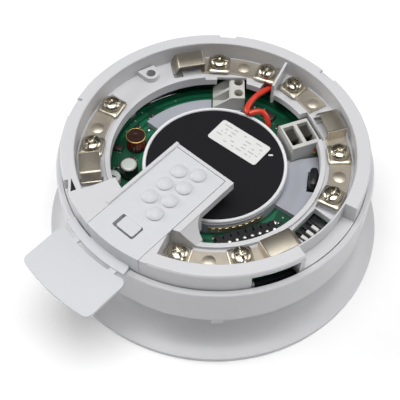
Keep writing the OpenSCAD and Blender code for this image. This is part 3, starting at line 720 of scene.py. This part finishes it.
def make_clamp_washers(hole=1.83, half=3.8):
    """Square clamp with its rim pressed down, so that it holds the wire."""
    for i, turn in enumerate(WASHER_TURNS, 1):
        node = f"clamp_washer_{i}"
        spot = hinge_spot(f"screw_{i}_turn")
        low, high = box_mm(node)
        base, top = low.z, high.z
        shape = [
            circle(hole, base + 0.25, 64), circle(hole + 0.08, top - 0.06, 64),
            circle(hole + 0.2, top, 64), squircle(half * 0.8, half * 0.8, top, 5),
            squircle(half * 0.93, half * 0.93, top - 0.1), squircle(half, half, top - 0.38, 9),
            squircle(half, half, base + 0.08, 9), squircle(half - 0.1, half - 0.1, base, 9),
            squircle(half * 0.9, half * 0.9, base + 0.02),
            squircle(half * 0.82, half * 0.82, base + 0.25, 5),
        ]
        bm = bmesh.new()
        skin(bm, shape, closed=True)
        angle = math.degrees(math.atan2(spot.y, spot.x))
        place = on_spot(spot.x, spot.y, 0, angle + turn)
        piece(f"washer_{i}", bm, "washer_nickel", f"washer_{i}", node, place)


# how far the bend, the foot and the lip of a spring reach past its flat top
SPRING_FOOT_RUN = 2.2
# rounding of the long edges of a spring: millimetres across, share of the thickness through it
SPRING_EASE = 0.05


def make_contact_springs(thickness=0.4, bend=0.95, half=3.3):
    """Leaves bent from strip: flat top, round bend, sloping foot with a turned lip."""
    for i in range(1, 5):
        node = f"contact_spring_{i}"
        root = hinge_spot(f"spring_{i}_flex")
        axis = Vector(joints[f"spring_{i}_flex"]["axis"])
        along = UP.cross(axis)
        low, high = box_mm(node)
        foot_z = low.z
        middle = (low + high) / 2
        length = abs((middle - root).dot(along)) * 2
        mid_z = high.z - thickness / 2
        fall = math.radians(60)
        flat = length - SPRING_FOOT_RUN
        path = [(0, mid_z), (flat * 0.5, mid_z + 0.02), (flat, mid_z)]
        for k in range(1, 9):
            a = fall * k / 8
            path.append((flat + bend * math.sin(a), mid_z - bend * (1 - math.cos(a))))
        y, z = path[-1]
        reach = (z - foot_z - 0.35) / math.sin(fall)
        for share in (0.4, 0.8, 1):
            path.append((y + share * reach * math.cos(fall), z - share * reach * math.sin(fall)))
        y, z = path[-1]
        path.append((y + 0.3, z - 0.12))
        rings = []
        for k, (y, z) in enumerate(path):
            before, after = path[max(k - 1, 0)], path[min(k + 1, len(path) - 1)]
            t = Vector((0, after[0] - before[0], after[1] - before[1])).normalized()
            n = Vector((0, -t.z, t.y))
            wide, narrow = half, half - SPRING_EASE
            outside, inside = 0.5, 0.5 - SPRING_EASE
            outline = [(wide, inside), (narrow, outside), (-narrow, outside), (-wide, inside),
                       (-wide, -inside), (-narrow, -outside), (narrow, -outside), (wide, -inside)]
            rings.append([Vector((x, y, z)) + n * (side * thickness) for x, side in outline])
        bm = bmesh.new()
        skin(bm, rings)
        place = Matrix.Translation((root.x, root.y, 0)) @ Matrix((
            (axis.x, along.x, 0, 0), (axis.y, along.y, 0, 0), (0, 0, 1, 0), (0, 0, 0, 1),
        ))
        piece(f"spring_leaf_{i}", bm, "spring_nickel", f"spring_{i}", node, place)


# ---------- parts on the board ----------

def make_inductor():
    """Drum core with a gold band round its rim, fine turns of wire, and a lead to its pad."""
    low, high = box_mm("inductor_core")
    x, y, base, top = (low.x + high.x) / 2, (low.y + high.y) / 2, low.z, high.z
    rim = (high.x - low.x) / 2
    flange, neck = base + 1, top - 0.9
    bm = bmesh.new()
    revolve(bm, [
        (0, base), (rim - 0.15, base), (rim, base + 0.15), (rim, base + 0.85), (rim - 0.15, flange),
        (1.5, flange), (1.5, neck), (rim - 0.35, neck), (rim - 0.2, top - 0.75),
        (rim - 0.2, top - 0.2), (rim - 0.4, top), (1.3, top), (1.15, top - 0.12), (0, top - 0.15),
    ], centre=(x, y))
    piece("inductor_drum", bm, "core_brown", "base", "inductor_core")
    band, band_sides = 0.26, 10
    turns = [math.tau * k / band_sides for k in range(band_sides)]
    bm = bmesh.new()
    revolve(bm, [(rim - 0.22 + band * math.cos(t), top - 0.3 + band * math.sin(t)) for t in turns],
            centre=(x, y), closed=True)
    piece("inductor_band", bm, "disc_brass")
    wire, coil_radius, coil_turns, per_turn = 0.17, 2.93, 10, 24
    bm = bmesh.new()
    revolve(bm, [(0, flange), (2.9, flange), (2.9, neck), (0, neck)], centre=(x, y))
    count = coil_turns * per_turn
    coil = []
    for k in range(count + 1):
        a = math.tau * k / per_turn
        z = base + 1.18 + (top - base - 2.25) * k / count
        coil.append(Vector((x + coil_radius * math.cos(a), y + coil_radius * math.sin(a), z)))
    tube(bm, coil, wire, 6)
    piece("inductor_turns", bm, "winding_red", "base", "inductor_winding")
    pad = (x + 2.7, y - 4.6)
    lead = [
        (x + 1.6, y - 2.6, base + 3), (x + 2.1, y - 3.2, base + 2),
        (x + 2.5, y - 3.9, base + 0.7), (*pad, base + 0.15),
    ]
    bm = bmesh.new()
    tube(bm, spline(lead, 5), 0.2, 8)
    revolve(bm, [(0, base), (0.62, base), (0.5, base + 0.2), (0.2, base + 0.34), (0, base + 0.38)],
            20, pad)
    piece("inductor_lead", bm, "pin_tin")


def make_capacitor():
    """Can with a domed top, in a dark shrunk sleeve that turns in over the top."""
    low, high = box_mm("smoothing_capacitor")
    x, y, base, top = (low.x + high.x) / 2, (low.y + high.y) / 2, low.z, high.z
    r = (high.x - low.x) / 2
    bm = bmesh.new()
    revolve(bm, [
        (0, base), (r - 0.3, base), (r - 0.2, base + 0.4), (r - 0.2, top - 0.5), (r - 0.35, top - 0.2),
        (r - 0.7, top - 0.1), (r * 0.6, top - 0.04), (0, top),
    ], 64, (x, y))
    piece("capacitor_can", bm, "can_aluminium", "base", "smoothing_capacitor")
    crimp = []
    for degrees in range(30, 151, 20):
        bend = math.cos(math.radians(degrees))
        crimp.append((r - 0.22 + 0.22 * abs(bend), base + 1 - 0.3 * bend))
    bm = bmesh.new()
    revolve(bm, [
        (r - 0.15, base + 0.1), (r, base + 0.15), (r, base + 0.6), *crimp,
        (r, base + 1.5), (r, top - 0.5), (r - 0.1, top - 0.28), (r - 0.24, top - 0.22),
        (r - 0.25, top - 0.4), (r - 0.15, top - 0.6),
    ], 64, (x, y), closed=True)
    piece("capacitor_sleeve", bm, "sleeve_dark")
    bm = bmesh.new()
    revolve(bm, [
        (r - 0.72, top - 0.12), (r - 0.6, top - 0.02), (r - 0.42, top - 0.08), (r - 0.36, top - 0.22),
    ], 64, (x, y), closed=True)
    piece("capacitor_ring", bm, "ring_pink")


def make_transistor():
    """Small moulded package with a round back and three legs."""
    low, high = box_mm("driver_transistor")
    middle = (low + high) / 2
    angle = math.degrees(math.atan2(middle.y, middle.x))
    base, top = low.z, high.z
    place = on_spot(middle.x, middle.y, 0, angle)
    bm = bmesh.new()
    round_back = 3.2
    outline = (
        (1.3, 3.4, base + 0.9), (1.45, 3.6, base + 1.1), (1.45, 3.6, top - 0.45),
        (1.35, 3.5, top - 0.15), (1.15, 3.3, top),
    )
    rings = [squircle(*row, round_back) for row in outline]
    skin(bm, [[(0, 0, base + 0.9)], *rings, [(0, 0, top)]])
    piece("transistor_body", bm, "component_black", "base", "driver_transistor", place)
    bm = bmesh.new()
    for y in (-2, 0, 2):
        block(bm, (-0.25, y - 0.25, base), (0.25, y + 0.25, base + 1.1), 0.05)
        revolve(bm, [(0, base), (0.7, base), (0.5, base + 0.25), (0, base + 0.5)], 16, (0, y))
    piece("transistor_legs", bm, "pin_tin", place=place)


def make_header_pins():
    """Round-topped contacts of the link header."""
    bm = bmesh.new()
    for centre, size, _, _ in solids_of("header_pins"):
        r = size.x / 2
        top = centre.z + size.z
        shoulder = top - r * 0.7
        dome = []
        for degrees in range(15, 90, 15):
            a = math.radians(degrees)
            dome.append((r * 0.9 * math.cos(a), shoulder + r * 0.7 * math.sin(a)))
        revolve(bm, [(0, centre.z), (r * 0.9, centre.z), (r * 0.9, shoulder), *dome, (0, top)],
                24, (centre.x, centre.y))
    piece("header_contacts", bm, "pin_bright", "base", "header_pins")


# a solid with more corners than this is the round trimmer, and one longer than this in
# millimetres is an integrated circuit
ROUND_CORNERS = 12
LONG_CHIP = 3.6
# turn of the trimmer's slot, in degrees
TRIMMER_TURN = 17.14


def make_small_components():
    """Chips with metal ends, two integrated circuits with legs, and a round trimmer."""
    bodies, ends = bmesh.new(), bmesh.new()
    for centre, size, turn, corners in solids_of("small_components"):
        place = on_spot(centre.x, centre.y, centre.z, turn)
        half_x, half_y, height = size.x / 2, size.y / 2, size.z
        if corners > ROUND_CORNERS:
            trimmer = bmesh.new()
            place = on_spot(centre.x, centre.y, centre.z, TRIMMER_TURN)
            r = half_x
            revolve(trimmer, [
                (0, 0), (r, 0), (r, height * 0.8), (r - 0.25, height * 0.9), (r * 0.8, height * 0.9),
                (r * 0.76, height * 0.84), (r * 0.6, height * 0.84), (r * 0.56, height),
                (0.5, height), (0.4, height - 0.4), (0, height - 0.4),
            ])
            piece("trimmer_body", trimmer, "trimmer_white", "base", None, place)
            rotor = bmesh.new()
            block(rotor, (-r * 0.5, -0.28, height - 0.1), (r * 0.5, 0.28, height + 0.03), 0.05)
            piece("trimmer_slot", rotor, "component_black", place=place)
        elif size.x > LONG_CHIP:
            side = half_y * 0.78
            block(bodies, (-half_x, -side, 0.12), (half_x, side, height), 0.12, place)
            for k in range(4):
                x = half_x * (-0.75 + 0.5 * k)
                for way in (-1, 1):
                    y0, y1 = sorted((way * half_y * 0.7, way * half_y))
                    block(ends, (x - 0.2, y0, 0.02), (x + 0.2, y1, 0.3), 0.04, place)
        else:
            end, side = half_x * 0.72, half_y * 0.97
            block(bodies, (-end, -side, 0.03), (end, side, height), 0.05, place)
            for way in (-1, 1):
                x0, x1 = sorted((way * half_x * 0.66, way * half_x))
                block(ends, (x0, -half_y, 0), (x1, half_y, height * 0.98), 0.07, place)
    piece("chip_bodies", bodies, "chip_dark", "base", "small_components")
    piece("chip_ends", ends, "pin_tin")


# place and radius of each solder joint and test pad
JOINT_SPOTS = (
    (27.5, -1.9, 1.15), (-24.9, -13.8, 0.8), (1.6, 26, 1.35), (-7.3, 40.2, 1.4),
    (5.6, 29.6, 0.7), (7.8, 28.4, 0.7), (9.2, 30.4, 0.6), (-29.4, -1.2, 0.8),
)


def make_board_details():
    """Solder joints and test pads on the board."""
    top = box_mm("circuit_board")[1].z
    bm = bmesh.new()
    for x, y, r in JOINT_SPOTS:
        revolve(bm, [
            (0, top - 0.02), (r, top - 0.02), (r * 0.92, top + 0.1), (r * 0.6, top + 0.3),
            (r * 0.3, top + 0.4), (0, top + 0.42),
        ], 24, (x, y))
    piece("solder_joints", bm, "solder")


def arc_strip(bm, profile, first, last, steps=40):
    """Profile of (radius, height) points swept about Z between two angles, with closed ends."""
    rings = []
    for k in range(steps + 1):
        a = math.radians(first + (last - first) * k / steps)
        rings.append([(r * math.cos(a), r * math.sin(a), z) for r, z in profile])
    skin(bm, rings)


def make_chamber_band():
    """Band round the front of the chamber, with a row of gold contacts."""
    radius, base, top = 24.3, 25.2, 27.7
    first, last, count = 306, 350, 8
    bm = bmesh.new()
    inner, outer, ease = radius - 0.5, radius + 0.2, 0.08
    arc_strip(bm, (
        (inner, base), (outer - ease, base), (outer, base + ease),
        (outer, top - ease), (outer - ease, top), (inner, top),
    ), first, last)
    piece("chamber_band", bm, "band_khaki")
    bm = bmesh.new()
    for k in range(count):
        turn = first + 4 + (last - first - 8) * k / (count - 1)
        block(bm, (radius, -0.62, base + 0.4), (radius + 0.5, 0.62, top - 0.3), 0.12,
              on_spot(0, 0, 0, turn))
    piece("band_contacts", bm, "pad_gold")


def make_slot_painted_shade():
    """Black strip on the collar of the housing, seen through the slot of the ring: painted shade that stands in
    for the dark depth of the slot.
    """
    inner, outer, base, top = 46.9, 48.3, 27.6, 30.6
    first, last = 325.5, 343.5
    bm = bmesh.new()
    arc_strip(bm, (
        (inner, top - 0.2), (outer - 0.15, base), (outer, base + 0.1),
        (outer, top - 0.1), (outer - 0.1, top), (inner, top),
    ), first, last)
    # painted shade: a black strip where the slot is dark only from its depth
    piece("slot_painted_shade", bm, "cap_black")


def make_switch_end():
    """Plain black end of the tone switch, which fills the rest of its window."""
    low, high = box_mm("tone_switch_body")
    inward = Vector(joints["tone_slider_1_slide"]["axis"])
    turn = math.degrees(math.atan2(-inward.y, -inward.x))
    place = on_spot((low.x + high.x) / 2, (low.y + high.y) / 2, 0, turn)
    side, reach = (high.y - low.y) / 2 - 0.1, 2.9
    bm = bmesh.new()
    end, shoulder = side + reach, high.z - 0.5
    block(bm, (-2.9, side, low.z + 0.02), (2.9, end, shoulder), 0.15, place)
    block(bm, (-2.5, side + 0.25, shoulder - 0.1), (2.5, end - 0.3, high.z - 0.1), 0.12, place)
    piece("switch_end", bm, "component_black")


def make_status_lamp():
    """Small two-colour bead between terminal block B and the ring."""
    distance, turn = 34.6, math.radians(54)
    centre = (distance * math.cos(turn), distance * math.sin(turn))
    for name, slot, base, top, r in (("bead_base", "bead_yellow", 26.4, 27.8, 0.75),
                                     ("bead_tip", "bead_red", 27.8, 29.2, 0.7)):
        bm = bmesh.new()
        revolve(bm, [
            (0, base), (r * 0.8, base), (r, base + 0.25), (r, top - 0.35), (r * 0.75, top - 0.08),
            (0, top),
        ], 24, centre)
        piece(name, bm, slot)


# centre line of the red link wire, the same as in the CAD source
WIRE_ROUTE = (
    (-7.3, 40.2, 24), (-7.3, 40.2, 26.8), (-7, 39.4, 29.2), (-6.8, 37.2, 31.3),
    (-7, 34, 32.2), (-7.4, 30, 32.4), (-7.2, 26.4, 31.9),
    (-6.2, 23.6, 31.7), (-4.5, 23, 31.6), (-3.2, 24.8, 31.9), (-1.6, 26.4, 31.5),
    (0.2, 26.6, 30.2), (1.4, 26.2, 28.2), (1.6, 26, 26), (1.6, 26, 24),
)


def make_wire(radius=1.0):
    """Insulation of the link wire, which goes down into the board at both ends."""
    bm = bmesh.new()
    tube(bm, spline(WIRE_ROUTE, 9), radius, 20)
    piece("wire_insulation", bm, "wire_red", "base", "red_link_wire")


def make_cap_mark():
    """Small raised white dash on the cap, beside the label."""
    top = box_mm("sounder_cap")[1].z
    x, y, turn = 11.7, 14.8, 40
    bm = bmesh.new()
    skin(bm, [[(0, 0, top - 0.02)], squircle(0.85, 0.4, top - 0.02, 2.4, 32),
              squircle(0.7, 0.3, top + 0.08, 2.4, 32), [(0, 0, top + 0.1)]])
    piece("cap_mark", bm, "label_white", place=on_spot(x, y, 0, turn))


# ---------- assembly ----------

dress_cad_nodes()
make_terminal_screws()
make_clamp_washers()
make_contact_springs()
make_inductor()
make_capacitor()
make_transistor()
make_header_pins()
make_small_components()
make_board_details()
make_chamber_band()
make_slot_painted_shade()
make_switch_end()
make_status_lamp()
make_wire()
make_cap_mark()
for name, width in EDGE_WIDTHS.items():
    soften(name, width)
soften("mounting_ring", RING_EDGE_WIDTH, RING_SPLIT)
